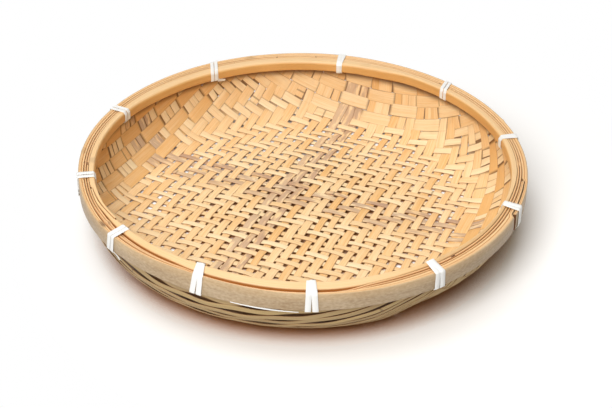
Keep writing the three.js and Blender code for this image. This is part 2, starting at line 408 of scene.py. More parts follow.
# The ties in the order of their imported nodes
TIE_LAYS = (
    Lay(0, 0, 0.0062),
    Lay(0.0026, -0.005, 0.0062, 0.0006),
    Lay(0, 0, 0.0062),
    Lay(0, 0, 0.0071),
    Lay(0.0008, 0, 0.0079),
    Lay(0, 0, 0.0084),
    Lay(0.0055, -0.0034, 0.0082),
    Lay(-0.0017, 0, 0.0074, 0.0003),
    Lay(0, 0, 0.0074, 0.0007),
    Lay(-0.0018, 0, 0.0067, 0.0006),
    Lay(-0.0031, 0.0058, 0.0062, 0.0005),
)

# A tie's band: its play on the rim, the play between its turns, how far they lap inside where no slit parts
# them, and how far the upper one is then raised over which lap
BAND_PLAY = 0.0002
TURN_PLAY = 0.00015
TURN_CLOSING = 0.0001
TURN_LAP = 0.0017
LAP_RAISE = 0.0003
LAP_RAISED_OVER = 0.0006

# The section of a flat band, as shares of half its width and half its thickness
BAND_SECTION = (
    (-1, 0),
    (-0.86, 0.8),
    (0, 1),
    (0.86, 0.8),
    (1, 0),
    (0.86, -0.8),
    (0, -0.9),
    (-0.86, -0.8),
)

# The stage: half the floor's side, where the shadow lies and between which distances it fades to white
FLOOR_HALF = 4.0
SHADOW_X = 0.05
SHADOW_Y = -0.012
SHADOW_FADES_FROM = 0.165
SHADOW_FADES_TO = 0.24

# The floor's shade close under the bamboo, which is warm except at the back, as shares of linear colour
SHADE_REACH = 0.028
SHADE_SAMPLES = 8
SHADE_FROM = 0.12
SHADE_TO = 0.62
WARM_SHADE = (0.45, 0.18, 0.06)
BACK_SHADE = (0.72, 0.66, 0.68)
BACK_SLANT = 0.4
BACK_FROM = 0.03
BACK_TO = 0.09
SHOWN_FLOOR = (1.1, 1.1, 1.1)
LIGHT_FLOOR = (0.8, 0.8, 0.8)

# The warm light that the room throws back
WHITE = (1, 1, 1)
ROOM_COLOUR = (1, 0.84, 0.6)
ROOM_LIGHT = 0.12

# The camera of the photograph
CAMERA_PLACE = (0.00222, -0.96513, 0.65006)
CAMERA_PITCH = 33.5427
CAMERA_ROLL = 0.6083
CAMERA_LENS = 100
CAMERA_SENSOR = 36


class Field:
    """A number that a node tree works out at every point. Arithmetic with it adds nodes to the tree."""

    def __init__(self, tree, socket):
        self.tree = tree
        self.socket = socket

    def math(self, operation, *others):
        """This number after one step of a Math node."""
        node = self.tree.nodes.new("ShaderNodeMath")
        node.operation = operation
        for socket, value in zip(node.inputs, (self, *others)):
            feed(self.tree, socket, value)
        return Field(self.tree, node.outputs[0])

    def __add__(self, other):
        return self.math("ADD", other)

    def __sub__(self, other):
        return self.math("SUBTRACT", other)

    def __mul__(self, other):
        return self.math("MULTIPLY", other)

    def __truediv__(self, other):
        return self.math("DIVIDE", other)

    def __neg__(self):
        return self.math("MULTIPLY", -1)

    def __radd__(self, other):
        return self.math("ADD", other)

    def __rsub__(self, other):
        return self.math("MULTIPLY_ADD", -1, other)

    def __rmul__(self, other):
        return self.math("MULTIPLY", other)

    def __abs__(self):
        return self.math("ABSOLUTE")

    def within(self, low, high):
        """This number, kept between two values."""
        return self.math("MAXIMUM", low).math("MINIMUM", high)

    def ramp(self, low, high):
        """Smooth rise from 0 at the low value to 1 at the high one."""
        values = {"Value": self, "From Min": low, "From Max": high}
        node = add_node(self.tree, "ShaderNodeMapRange", values, interpolation_type="SMOOTHSTEP")
        return Field(self.tree, node.outputs["Result"])


def feed(tree, socket, value):
    """Link a field or a socket to a socket, or set the socket to a plain value."""
    if isinstance(value, Field):
        tree.links.new(value.socket, socket)
    elif isinstance(value, bpy.types.NodeSocket):
        tree.links.new(value, socket)
    else:
        socket.default_value = value


def add_node(tree, kind, values=None, **settings):
    """A new node with its settings made and its sockets fed by name."""
    node = tree.nodes.new(kind)
    for setting, value in settings.items():
        setattr(node, setting, value)
    for name, value in (values or {}).items():
        feed(tree, node.inputs[name], value)
    return node


def mixed(first, second, share):
    """The field that goes from the first value to the second with a share from 0 to 1."""
    return (first - second) * (1 - share) + second


def vector_of(tree, x, y, z):
    """A vector from its three parts."""
    return add_node(tree, "ShaderNodeCombineXYZ", {"X": x, "Y": y, "Z": z}).outputs["Vector"]


def parts_of(tree, vector):
    """The three parts of a vector."""
    node = add_node(tree, "ShaderNodeSeparateXYZ", {"Vector": vector})
    return [Field(tree, node.outputs[axis]) for axis in "XYZ"]


def new_geometry_tree(name, sizes):
    """An empty geometry tree with named number inputs and a material. Returns it and its inputs by name."""
    tree = bpy.data.node_groups.new(name, "GeometryNodeTree")
    tree.interface.new_socket("Geometry", in_out="OUTPUT", socket_type="NodeSocketGeometry")
    tree.interface.new_socket("Geometry", in_out="INPUT", socket_type="NodeSocketGeometry")
    tree.interface.new_socket("Material", in_out="INPUT", socket_type="NodeSocketMaterial")
    for size in sizes:
        tree.interface.new_socket(size, in_out="INPUT", socket_type="NodeSocketFloat")
    entry = tree.nodes.new("NodeGroupInput")
    return tree, entry.outputs, {size: Field(tree, entry.outputs[size]) for size in sizes}


def named_number(tree, name):
    """A number that the points of a geometry carry."""
    node = add_node(tree, "GeometryNodeInputNamedAttribute", {"Name": name}, data_type="FLOAT")
    return Field(tree, node.outputs["Attribute"])


def keep(tree, geometry, name, value, data_type):
    """Store a field on the points of a geometry for its material."""
    values = {"Geometry": geometry, "Name": name, "Value": value}
    node = add_node(tree, "GeometryNodeStoreNamedAttribute", values, data_type=data_type, domain="POINT")
    return node.outputs["Geometry"]


def finish_tree(tree, geometry, material):
    """Give a geometry its material and pass it out of its tree."""
    painted = add_node(tree, "GeometryNodeSetMaterial", {"Geometry": geometry, "Material": material})
    tree.links.new(painted.outputs["Geometry"], tree.nodes.new("NodeGroupOutput").inputs["Geometry"])


def points_with(name, columns):
    """A mesh of loose points at the origin, each with one number from every column."""
    mesh = bpy.data.meshes.new(name)
    mesh.vertices.add(len(next(iter(columns.values()))))
    for column, numbers in columns.items():
        mesh.attributes.new(column, "FLOAT", "POINT").data.foreach_set("value", numbers)
    return mesh


def link_piece(context, name, mesh):
    """A new object in the scene for a mesh."""
    piece = bpy.data.objects.new(name, mesh)
    context.scene.collection.objects.link(piece)
    return piece


def grown_piece(context, name, points, tree, values):
    """The plain mesh object that a geometry tree makes from loose points."""
    piece = link_piece(context, name, points)
    modifier = piece.modifiers.new(name, "NODES")
    modifier.node_group = tree
    for socket in tree.interface.items_tree:
        if socket.in_out == "INPUT" and socket.name in values:
            modifier[socket.identifier] = values[socket.name]
    evaluated = piece.evaluated_get(context.evaluated_depsgraph_get())
    mesh = bpy.data.meshes.new_from_object(evaluated)
    piece.modifiers.remove(modifier)
    for column in points.attributes.keys():
        if column != "position" and column in mesh.attributes:
            mesh.attributes.remove(mesh.attributes[column])
    piece.data = mesh
    if not mesh.polygons:
        raise RuntimeError(f"{name} came out empty")
    return piece


def soften(mesh, angle):
    """Smooth shading that keeps edges sharper than an angle in degrees."""
    mesh.shade_smooth()
    mesh.set_sharp_from_angle(angle=math.radians(angle))


def place(piece, slot, nodes):
    """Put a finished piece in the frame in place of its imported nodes."""
    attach(piece, "root")
    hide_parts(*nodes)


# The mat


def floor_radius(sizes):
    """Distance from the axis at which the mat starts to bend up."""
    return MAT_RADIUS - sizes.corner_radius


def reach_at(sizes, height):
    """Flat distance from the centre at which the mat's outside comes to a height."""
    turn = math.acos(max(0, 1 - height / sizes.corner_radius))
    return floor_radius(sizes) + sizes.corner_radius * turn + max(0, height - sizes.corner_radius)


def narrow_zone(family, sizes):
    """Start, end and pitch of a family's run of narrow strips between its wide ones."""
    wall = reach_at(sizes, OUTER_HOOP_BOTTOM + sizes.wide_tuck)
    wide_pitch = sizes.wide_width + sizes.wide_gap
    start = family.wide_low * wide_pitch - wall
    end = wall - family.wide_high * wide_pitch
    return start, end, (end - start) / family.narrow


def flat_reach(u, v):
    """Distance from the centre of a point of the woven grid, with u across the warp and v across the weft."""
    bow = WEFT_BOW + FRONT_BOW * rise(-v, FRONT_BOW_FROM, FRONT_BOW_TO)
    return math.hypot(u * (1 - WARP_FAN * v), v + bow * u * u)


def low_rows(family):
    """How many strips stand on the low side of a family in the room of its wide ones."""
    return family.wide_low if family.is_warp else FRONT_ROWS


def low_pitch(family, sizes):
    """Pitch of the strips on the low side of a family."""
    return family.wide_low * (sizes.wide_width + sizes.wide_gap) / low_rows(family)


def strip_end(family, across, direction, limit):
    """How far along a strip runs until it comes to the mat's edge."""
    near = 0.0
    far = limit * LONGEST_STRIP
    for _ in range(HALVINGS):
        middle = (near + far) / 2
        along = direction * middle
        reach = flat_reach(across, along) if family.is_warp else flat_reach(along, across)
        if reach < limit:
            near = middle
        else:
            far = middle
    return direction * near


STRIP_NUMBERS = (
    "across",
    "breadth",
    "order",
    "rank",
    "wide",
    "front",
    "gather",
    "start",
    "finish",
    "seed",
    "tint",
    "stain",
    "knot",
)


@dataclass(frozen=True)
class Strip:
    """A strip's place in its family: its middle and width across, its number among the narrow strips, the
    number of its three or wide row, whether it is wide or a row of the front wall, and how far it lies from
    the middle of its three."""

    across: float
    breadth: float
    order: int = 0
    rank: int = 0
    wide: int = 0
    front: int = 0
    gather: float = 0


def family_strips(family, sizes):
    """All strips of a family, the narrow ones first, then the wide ones of its low and its high side."""
    start, end, pitch = narrow_zone(family, sizes)
    gap = sizes.warp_gap if family.is_warp else sizes.weft_gap
    for order in range(family.narrow):
        across = start + (order + 0.5) * pitch
        rank = order // STRIPS_IN_GROUP
        middle = start + (rank * STRIPS_IN_GROUP + STRIPS_IN_GROUP / 2) * pitch
        yield Strip(across, pitch - gap, order, rank, gather=middle - across)
    row_pitch = low_pitch(family, sizes)
    row_gap = sizes.wide_gap if family.is_warp else sizes.row_gap
    for rank in range(low_rows(family)):
        across = start - (rank + 0.5) * row_pitch
        yield Strip(across, row_pitch - row_gap, rank=rank, wide=1, front=0 if family.is_warp else 1)
    for rank in range(family.wide_high):
        across = end + (rank + 0.5) * (sizes.wide_width + sizes.wide_gap)
        yield Strip(across, sizes.wide_width, rank=rank, wide=1)


def strip_columns(family, sizes):
    """Numbers that say where each strip of a family lies and how it looks."""
    chance = random.Random(family.name)
    edge = reach_at(sizes, MAT_TOP)
    columns = {name: [] for name in STRIP_NUMBERS}
    for strip in family_strips(family, sizes):
        ends = [strip_end(family, strip.across, direction, edge) for direction in (-1, 1)]
        if family.is_warp:
            ends.reverse()
        stained = not strip.wide and abs(strip.across - family.stained_at) < STAIN_REACH
        unevenness = WIDE_UNEVENNESS if strip.wide else NARROW_UNEVENNESS
        columns["across"].append(strip.across + chance.gauss(0, STRIP_STRAY))
        columns["breadth"].append(strip.breadth * chance.uniform(1 - unevenness, 1 + unevenness))
        columns["order"].append(strip.order)
        columns["rank"].append(strip.rank)
        columns["wide"].append(strip.wide)
        columns["front"].append(strip.front)
        columns["gather"].append(strip.gather)
        columns["start"].append(ends[0])
        columns["finish"].append(ends[1])
        columns["seed"].append(chance.random())
        columns["tint"].append(max(-1, min(1, chance.gauss(0, TINT_SPREAD))))
        columns["stain"].append(chance.uniform(STAIN_LEAST, 1) if stained else 0)
        columns["knot"].append(chance.uniform(-KNOT_REACH, KNOT_REACH))
    return columns


WEAVE_SIZES = (
    "Heading",
    "Warp",
    "Floor Radius",
    "Floor Rise",
    "Corner Radius",
    "Middle",
    "Thickness",
    "Shoulder",
    "Depth",
    "Wander",
    "Gathering",
    "Wall Spread",
    "Row Depth",
    "Zone Start",
    "Zone End",
    "Pitch",
    "Low Pitch",
    "High Pitch",
    "Front Rows",
)


@dataclass
class Crossing:
    """Where a point of a strip crosses the other family: its lane among the narrow strips and among the wide
    ones, and 1 where it is out among the wide ones, crowded by them, and on their low side."""

    lane: Field
    wide_lane: Field
    outside: Field
    crowded: Field
    is_low: Field


def crossing_at(along, size):
    """The crossing for each point along a strip."""
    beyond = (size["Zone Start"] - along).math("MAXIMUM", along - size["Zone End"])
    is_low = along.math("LESS_THAN", 0)
    wide_pitch = mixed(size["High Pitch"], size["Low Pitch"], is_low)
    return Crossing(
        lane=(along - size["Zone Start"]) / size["Pitch"] - 0.5,
        wide_lane=beyond / wide_pitch - 0.5,
        outside=beyond.ramp(size["Pitch"] * -0.3, size["Pitch"] * 0.3),
        crowded=beyond.ramp(wide_pitch * -0.5, wide_pitch * 1.5),
        is_low=is_low,
    )


def rippled(along, seed, ripples):
    """Sum of two waves along a strip, which start elsewhere on every strip."""
    first, second = (
        (along * ripple.per_metre + seed * ripple.shift).math("SINE") * ripple.share for ripple in ripples
    )
    return first + second


def strip_width(own, along, crossing, up_front, size):
    """Width of a strip along its run: broader up the walls, tapered in the front rows and with wavy edges."""
    past_floor = (along * along + own["across"] * own["across"]).math("SQRT") - size["Floor Radius"]
    on_wall = past_floor.ramp(WALL_FROM, WALL_TO) * (1 - crossing.crowded * CROWDED_LOSS)
    spread = on_wall * (1 - own["wide"]) * size["Wall Spread"]
    calm = 1 - own["wide"] * WIDE_EDGE_CALM
    waves = rippled(along, own["seed"], EDGE_RIPPLES) * calm * EDGE_RIPPLE_SHARE
    taper = own["front"] * (-along).ramp(ROW_TAPER_FROM, ROW_TAPER_TO) * ROW_TAPER
    return own["breadth"] * (1 + spread + up_front * FRONT_WARP_SPREAD + waves - taper)


def over_and_under(own, crossing, size):
    """1 where a strip is on the inside of the mat and -1 where it is on the outside. A narrow strip goes over
    two and under two, wide strips and threes take turns, and the front rows stay outside the warp."""
    over = size["Warp"] * 2 - 1
    twill = (((own["order"] - crossing.lane) * over - 0.5) * (math.pi / 2)).math("COSINE") * TWILL_STEEPNESS
    threes = (((crossing.lane - 1) / STRIPS_IN_GROUP + own["rank"]) * math.pi).math("COSINE") * TURN_STEEPNESS
    turns = ((crossing.wide_lane + own["rank"]) * math.pi).math("COSINE") * TURN_STEEPNESS
    turns = mixed(turns, 1, (crossing.is_low * size["Front Rows"]).math("MAXIMUM", own["front"]))
    among_narrow = mixed(twill, mixed(threes, 1, own["front"]), own["wide"])
    return mixed(among_narrow, turns, crossing.outside).within(-1, 1) * over


def row_swing(own, along, crossing, parity):
    """How far a row of the front wall swings towards its neighbour and away from it."""
    phase = crossing.lane * (math.tau / ROW_SWING_LANES) + own["rank"] * ROW_SWING_SHIFT
    right = 1 - along.ramp(RIGHT_CALM_FROM, RIGHT_CALM_TO) * RIGHT_CALM
    upper = 1 - own["rank"].ramp(UPPER_CALM_FROM, UPPER_CALM_TO) * UPPER_CALM
    return phase.math("SINE") * parity * ROW_SWING * right * upper


def bent_up(flat_u, flat_v, lift, size):
    """Place in the tray of a point of the flat mat that stands off the mat's outside by its lift."""
    reach = (flat_u * flat_u + flat_v * flat_v).math("SQRT").math("MAXIMUM", LEAST_REACH)
    turn = ((reach - size["Floor Radius"]) / size["Corner Radius"]).within(0, math.pi / 2)
    climb = (reach - size["Floor Radius"] - size["Corner Radius"] * (math.pi / 2)).math("MAXIMUM", 0)
    bend = size["Corner Radius"] - lift
    radius = reach.math("MINIMUM", size["Floor Radius"]) + bend * turn.math("SINE")
    level = 1 - (reach / size["Floor Radius"]).within(0, 1).math("POWER", 2)
    height = size["Corner Radius"] - bend * turn.math("COSINE") + climb + level * level * size["Floor Rise"]
    east = size["Heading"].math("SINE")
    north = size["Heading"].math("COSINE")
    shrink = radius / reach
    x = (flat_u * east + flat_v * north) * shrink
    y = (flat_v * east - flat_u * north) * shrink
    towards = x * math.cos(RAISED_TOWARDS) + y * math.sin(RAISED_TOWARDS)
    low = 1 - (height / RAISED_BELOW).within(0, 1)
    return x, y, height + towards.ramp(RAISED_FROM, RAISED_TO) * low * FOOT_RAISE


def blank_strips(tree, points, stations):
    """One plain box for each point, with its length along X and its width along Y."""
    values = {"Size": (1, 1, 1), "Vertices X": stations, "Vertices Y": BLANK_LINES, "Vertices Z": 2}
    blank = add_node(tree, "GeometryNodeMeshCube", values).outputs["Mesh"]
    values = {"Points": points, "Instance": blank}
    strips = add_node(tree, "GeometryNodeInstanceOnPoints", values).outputs["Instances"]
    return add_node(tree, "GeometryNodeRealizeInstances", {"Geometry": strips}).outputs["Geometry"]


def weave_tree(stations):
    """The tree that turns each point into one strip, woven over and under and bent up at the walls."""
    tree, entry, size = new_geometry_tree("Woven strips", WEAVE_SIZES)
    geometry = blank_strips(tree, entry["Geometry"], stations)
    own = {name: named_number(tree, name) for name in STRIP_NUMBERS}
    x, y, z = parts_of(tree, tree.nodes.new("GeometryNodeInputPosition").outputs["Position"])

    # Along the strip and across it, with rounded shoulders at both edges
    along = mixed(own["start"], own["finish"], x + 0.5)
    edge = abs(y).math("GREATER_THAN", EDGE_BEYOND)
    crossing = crossing_at(along, size)
    up_front = size["Front Rows"] * crossing.is_low * crossing.outside
    width = strip_width(own, along, crossing, up_front, size)
    aside = y.math("SIGN") * (width * 0.5 - (1 - edge) * size["Shoulder"])

    # Narrow strips crowd together in threes on the walls, and every strip strays a little
    parity = (own["rank"] * math.pi).math("COSINE") * own["front"]
    calm = 1 - own["wide"] * WIDE_STRAY_CALM
    stray = rippled(along, own["seed"], STRAY_RIPPLES) * calm * size["Wander"]
    gathered = own["gather"] * crossing.crowded * size["Gathering"]
    across = own["across"] + aside + gathered + stray + row_swing(own, along, crossing, parity)

    # How far the point stands off the outside of the mat
    wave = over_and_under(own, crossing, size)
    knot = 1 - (abs(along - own["knot"]) / KNOT_HALF_LENGTH).within(0, 1)
    half = z * size["Thickness"] * (1 - edge * EDGE_THINNING)
    lift = size["Middle"] + wave * size["Depth"] + half + z * knot * KNOT_SWELL
    lift = lift + up_front * size["Row Depth"] + parity * ROW_STAGGER

    # The flat grid is drawn out of square, then bent round the edge of the floor
    u = mixed(along, across, size["Warp"])
    v = mixed(across, along, size["Warp"])
    bow = (-v).ramp(FRONT_BOW_FROM, FRONT_BOW_TO) * FRONT_BOW + WEFT_BOW
    spot_x, spot_y, height = bent_up(u * (1 - v * WARP_FAN), v + bow * u * u, lift, size)

    # What the material needs
    looks = {
        "grain": (along, aside, own["seed"]),
        "tones": (own["tint"], own["stain"], z),
        "marks": (edge, along - own["knot"], own["wide"]),
        # Height, wave and front rows, which the material uses for its painted shade
        "depth": (height, wave, up_front),
    }
    for name, numbers in looks.items():
        geometry = keep(tree, geometry, name, vector_of(tree, *numbers), "FLOAT_VECTOR")
    values = {"Geometry": geometry, "Position": vector_of(tree, spot_x, spot_y, height)}
    placed = add_node(tree, "GeometryNodeSetPosition", values).outputs["Geometry"]
    finish_tree(tree, placed, entry["Material"])
    return tree


def weave_values(family, other, sizes, material):
    """Inputs of the weave tree for one family of strips."""
    start, end, pitch = narrow_zone(other, sizes)
    return {
        "Material": material,
        "Heading": WARP_HEADING,
        "Warp": 1.0 if family.is_warp else 0.0,
        "Floor Radius": floor_radius(sizes),
        "Floor Rise": sizes.floor_rise,
        "Corner Radius": sizes.corner_radius,
        "Middle": sizes.weave_middle,
        "Thickness": sizes.strip_thickness,
        "Shoulder": sizes.strip_shoulder,
        "Depth": sizes.weave_depth,
        "Wander": sizes.strip_wander,
        "Gathering": GATHERING,
        "Wall Spread": WALL_SPREAD,
        "Row Depth": FRONT_WARP_DEPTH,
        "Zone Start": start,
        "Zone End": end,
        "Pitch": pitch,
        "Low Pitch": low_pitch(other, sizes),
        "High Pitch": sizes.wide_width + sizes.wide_gap,
        "Front Rows": 1.0 if family.is_warp else 0.0,
    }


# Materials


def new_material(name):
    """A material with one shader. Returns it, its tree and the shader."""
    material = bpy.data.materials.new(name)
    material.use_nodes = True
    tree = material.node_tree
    shader = tree.nodes["Principled BSDF"]
    return material, tree, shader


def carried(tree, name):
    """The three numbers that the points of a piece carry for its material."""
    return parts_of(tree, add_node(tree, "ShaderNodeAttribute", attribute_name=name).outputs["Vector"])


def noise(tree, x, y, z, detail=2.0):
    """Soft noise from 0 to 1 whose patches are about one unit of x, y and z long."""
    values = {"Vector": vector_of(tree, x, y, z), "Scale": 1.0, "Detail": detail}
    return Field(tree, add_node(tree, "ShaderNodeTexNoise", values).outputs["Fac"])


def blended(tree, share, first, second):
    """A colour between two, each a socket or a plain colour."""
    node = add_node(tree, "ShaderNodeMix", data_type="RGBA", clamp_factor=True)
    feed(tree, node.inputs[0], share)
    for socket, colour in ((node.inputs[6], first), (node.inputs[7], second)):
        feed(tree, socket, colour if isinstance(colour, bpy.types.NodeSocket) else (*colour, 1))
    return node.outputs[2]


def roughen(tree, shader, height, strength, distance):
    """Give a shader the fine relief of a height from 0 to 1."""
    values = {"Height": height, "Strength": strength, "Distance": distance}
    feed(tree, shader.inputs["Normal"], add_node(tree, "ShaderNodeBump", values).outputs["Normal"])


def split_bamboo(name, pale, deep, colours):
    """Split strips: fibres along the strip, slow changes of tone, brown cut edges, nodes, stains, an outside
    skin, and painted shade where a strip lies behind others, close under the rim and behind the front rows."""
    material, tree, shader = new_material(name)
    along, aside, seed = carried(tree, "grain")
    tint, stain, side = carried(tree, "tones")
    edge, from_knot, wide = carried(tree, "marks")
    height, wave, up_front = carried(tree, "depth")
    # Patterns by their count per metre along and across the strip, shifted for every strip
    shift = seed * 60
    streaks = noise(tree, along * 26, aside * 1100 + shift, shift)
    fibres = noise(tree, along * 140, aside * 4800 + shift, shift)
    patches = noise(tree, along * 18, aside * 120, shift + 11)

    shade = (tint * 0.4 + (patches - 0.5) * 1.1 + (streaks - 0.5) * 1.3 + wide * 0.3 + 0.42).within(0, 1)
    colour = blended(tree, shade, pale, deep)
    colour = blended(tree, fibres.ramp(0.58, 0.72) * 0.22, colour, colours.split_edge)
    skin_shade = ((streaks - 0.5) * 0.8 + (patches - 0.5) * 0.7 + tint * 0.2 + 0.3).within(0, 1)
    skin = blended(tree, skin_shade, colours.strip_skin, colours.hoop_skin_deep)
    colour = blended(tree, (-side).ramp(0.1, 0.4), colour, skin)
    blotch = noise(tree, along * 75, aside * 260 + shift, shift + 5, 3.0).ramp(0.34, 0.56)
    colour = blended(tree, stain * blotch * 0.85, colour, colours.stain)
    # Brown cut edges, deepened to stand in for the shade in the holes between strips
    colour = blended(tree, edge * 0.5, colour, colours.split_edge)

    inner = side.ramp(-0.2, 0.2)
    # Painted shade where the strip passes behind others on the walls, close under the rim, and behind the
    # front rows
    under = mixed(wave, -wave, inner).ramp(-0.3, 0.7) * height.ramp(*WALL_SHADE) * 0.75
    recess = height.ramp(*RIM_SHADE) * inner * 0.78
    behind = up_front * (1 - side.ramp(0.3, 0.5)) * 0.8
    colour = blended(tree, under.math("MAXIMUM", recess).math("MAXIMUM", behind), colour, colours.shade)
    ring = 1 - abs(from_knot).ramp(*KNOT_RING)
    colour = blended(tree, ring * 0.5, colour, colours.seam)
    feed(tree, shader.inputs["Base Color"], colour)
    feed(tree, shader.inputs["Roughness"], (fibres - 0.5) * 0.3 + 0.55)
    shader.inputs["Specular IOR Level"].default_value = 0.35
    roughen(tree, shader, streaks * 0.6 + fibres * 0.4, strength=0.3, distance=0.00015)
    return material


def hoop_bamboo(name, face_pale, face_deep, speckle, colours):
    """Bent hoops: long fibres, a face of another colour that may be speckled, dark nodes, painted shade in
    the grooves between the rim's parts, and dark cut ends."""
    material, tree, shader = new_material(name)
    along, aside, seed = carried(tree, "grain")
    face, knot, cut = carried(tree, "marks")
    # Patterns by their count per metre along and across the hoop, shifted for every hoop
    shift = seed * 60
    fibres = noise(tree, along * 16, aside * 1500 + shift, shift)
    fine = noise(tree, along * 90, aside * 5200 + shift, shift)
    clouds = noise(tree, along * 28, aside * 70 + shift, shift + 3)
    specks = noise(tree, along * 420, aside * 700 + shift, shift + 7, 3.0)

    core_shade = ((fibres - 0.5) * 1.2 + (clouds - 0.5) * 0.7 + 0.35).within(0, 1)
    colour = blended(tree, core_shade, colours.core_pale, colours.core_deep)
    face_shade = ((clouds - 0.5) * 1.0 + (fibres - 0.5) * 0.5 + (specks - 0.5) * speckle + 0.45).within(0, 1)
    colour = blended(tree, face, colour, blended(tree, face_shade, face_pale, face_deep))
    # Painted shade in the gaps between the rim's parts and in the notch of the outer hoop's top; cut ends
    # take the same brown
    colour = blended(tree, cut, colour, colours.groove_shade)
    colour = blended(tree, knot * 0.8, colour, colours.seam)
    feed(tree, shader.inputs["Base Color"], colour)
    feed(tree, shader.inputs["Roughness"], (fine - 0.5) * 0.25 + 0.45)
    shader.inputs["Specular IOR Level"].default_value = 0.4
    height = fibres * 0.6 + fine * 0.25 + specks * 0.15
    roughen(tree, shader, height, strength=0.25, distance=0.0002)
    return material


def tie_plastic(colours):
    """White flat band with fine ribs along it."""
    material, tree, shader = new_material("white_band")
    along, aside, seed = carried(tree, "grain")
    ribs = noise(tree, along * 60, aside * 3600, seed * 40)
    smudge = noise(tree, along * 160, aside * 300, seed * 40 + 9)
    shade = ((ribs - 0.5) * 0.7 + (smudge - 0.5) * 0.5 + 0.25).within(0, 1)
    feed(tree, shader.inputs["Base Color"], blended(tree, shade, colours.band, colours.band_shade))
    feed(tree, shader.inputs["Roughness"], (smudge - 0.5) * 0.2 + 0.38)
    shader.inputs["Specular IOR Level"].default_value = 0.45
    roughen(tree, shader, ribs, strength=0.3, distance=0.0001)
    return material


# The rim


def bell(azimuth, stretch):
    """1 in the middle of a stretch of the rim, fading to 0 on both sides of it."""
    away = abs(math.remainder(math.degrees(azimuth) - stretch.middle, 360)) / stretch.reach
    return math.exp(-(away**stretch.squareness))


def bent_radius(radius, azimuth, up, inner):
    """Distance from the axis that a point of the even rim gets in the hand-bent one. Each face of the hoops
    moves by its own amount, and what lies between two faces moves in proportion."""
    lean = RIM_LEAN * bell(azimuth, LEANING) * up
    right = rise(math.cos(azimuth), *THIN_RIGHT)
    left = rise(-math.cos(azimuth), *THIN_LEFT)
    thin = HOOP_THINNING * (right + left) * inner
    broad_to = OUTER_HOOP_INSIDE - LEAN_SHARE_INSIDE * lean - HOOP_SEAM
    inset = bell(azimuth, INSET) * inner
    broad = (broad_to - INNER_HOOP_OUTSIDE) * (bell(azimuth, BROADENED) * inner)
    broad = broad - HOOP_PARTING * (bell(azimuth, PARTED) * inner) - SEAM_INSET * inset
    outer = -LEAN_SHARE_INSIDE * lean - OUTER_BROADENING * inset
    faces = (0, INNER_HOOP_INSIDE, INNER_HOOP_OUTSIDE, OUTER_HOOP_INSIDE, RIM_RADIUS, 2 * RIM_RADIUS)
    moves = (thin, thin, broad, outer, -lean, -lean)
    index = max(face for face in range(len(faces) - 1) if faces[face] <= radius)
    share = (radius - faces[index]) / (faces[index + 1] - faces[index])
    return radius + moves[index] + (moves[index + 1] - moves[index]) * share


def bent_height(spot, radius, azimuth, up, inner):
    """Height that a point of the even rim gets in the hand-bent one: its top raised at the front left and
    sloped in front, with a sunk seam between the hoops and a narrower outer hoop at the front left."""
    middle = (INNER_HOOP_OUTSIDE + OUTER_HOOP_INSIDE) / 2
    between = rise(radius, INNER_HOOP_OUTSIDE, INNER_HOOP_OUTSIDE + SEAM_EDGE)
    sunk = bell(azimuth, BROADENED) * inner * between
    sunk *= 1 - rise(radius, OUTER_HOOP_INSIDE - SEAM_EDGE, OUTER_HOOP_INSIDE)
    parted = PARTING_DEPTH_SHARE * (bell(azimuth, PARTED) * inner) * between
    sunk += parted * (1 - rise(radius, middle - SEAM_EDGE / 2, middle + SEAM_EDGE / 2))
    slope = RIM_SLOPE * rise(-math.sin(azimuth), SLOPED_FROM, SLOPED_TO)
    slope *= rise(radius, INNER_HOOP_INSIDE, OUTER_HOOP_INSIDE)
    low = rise(radius, NARROWED_FROM, OUTER_HOOP_INSIDE) * (1 - up)
    bent_from = OUTER_HOOP_BOTTOM - SETTLED_BELOW
    low *= rise(spot.z, bent_from, OUTER_HOOP_BOTTOM - FULLY_BENT_SHARE * SETTLED_BELOW)
    raised = (RIM_LIFT * bell(azimuth, LIFTED) - slope) * up
    return spot.z + raised - SEAM_DEPTH * sunk + HOOP_NARROWING * bell(azimuth, NARROWED) * low


def hand_bent(spot):
    """Where a point of the even rim goes in the hand-bent one."""
    azimuth = math.atan2(spot.y, spot.x)
    radius = spot.xy.length
    up = share_between(spot.z, OUTER_HOOP_BOTTOM, RIM_TOP)
    inner = rise(spot.z, INNER_BENT_FROM, INNER_BENT_TO)
    moved = bent_radius(radius, azimuth, up, inner)
    lifted = bent_height(spot, radius, azimuth, up, inner)
    return Vector((moved * math.cos(azimuth), moved * math.sin(azimuth), lifted))


def settle(mesh):
    """Bend a mesh of the even tray like the hand-bent rim."""
    for corner in mesh.vertices:
        if corner.co.z > OUTER_HOOP_BOTTOM - SETTLED_BELOW:
            corner.co = hand_bent(corner.co)


@dataclass(frozen=True)
class Corner:
    """A corner of a hoop's outline: its place across and up, its rounding, and how much it shows the hoop's
    face colour or the groove brown, which is painted shade in the gaps and the notch of the rim."""

    across: float
    up: float
    rounding: float
    face: float = 0
    groove_shade: float = 0


def filleted(corners, steps):
    """A closed outline with rounded corners, as pairs of a point and the corner that it comes from."""
    outline = []
    for index, corner in enumerate(corners):
        spot = Vector((corner.across, corner.up))
        last = corners[index - 1]
        following = corners[(index + 1) % len(corners)]
        before = (Vector((last.across, last.up)) - spot).normalized()
        after = (Vector((following.across, following.up)) - spot).normalized()
        opening = math.acos(max(-1, min(1, before.dot(after))))
        if opening > NEARLY_STRAIGHT:
            outline.append((spot, corner))
            continue
        cut = corner.rounding / math.tan(opening / 2)
        centre = spot + (before + after).normalized() * (corner.rounding / math.sin(opening / 2))
        first = spot + before * cut - centre
        swing = (spot + after * cut - centre).angle_signed(first)
        for step in range(steps + 1):
            outline.append((centre + Matrix.Rotation(swing * step / steps, 2) @ first, corner))
    return outline


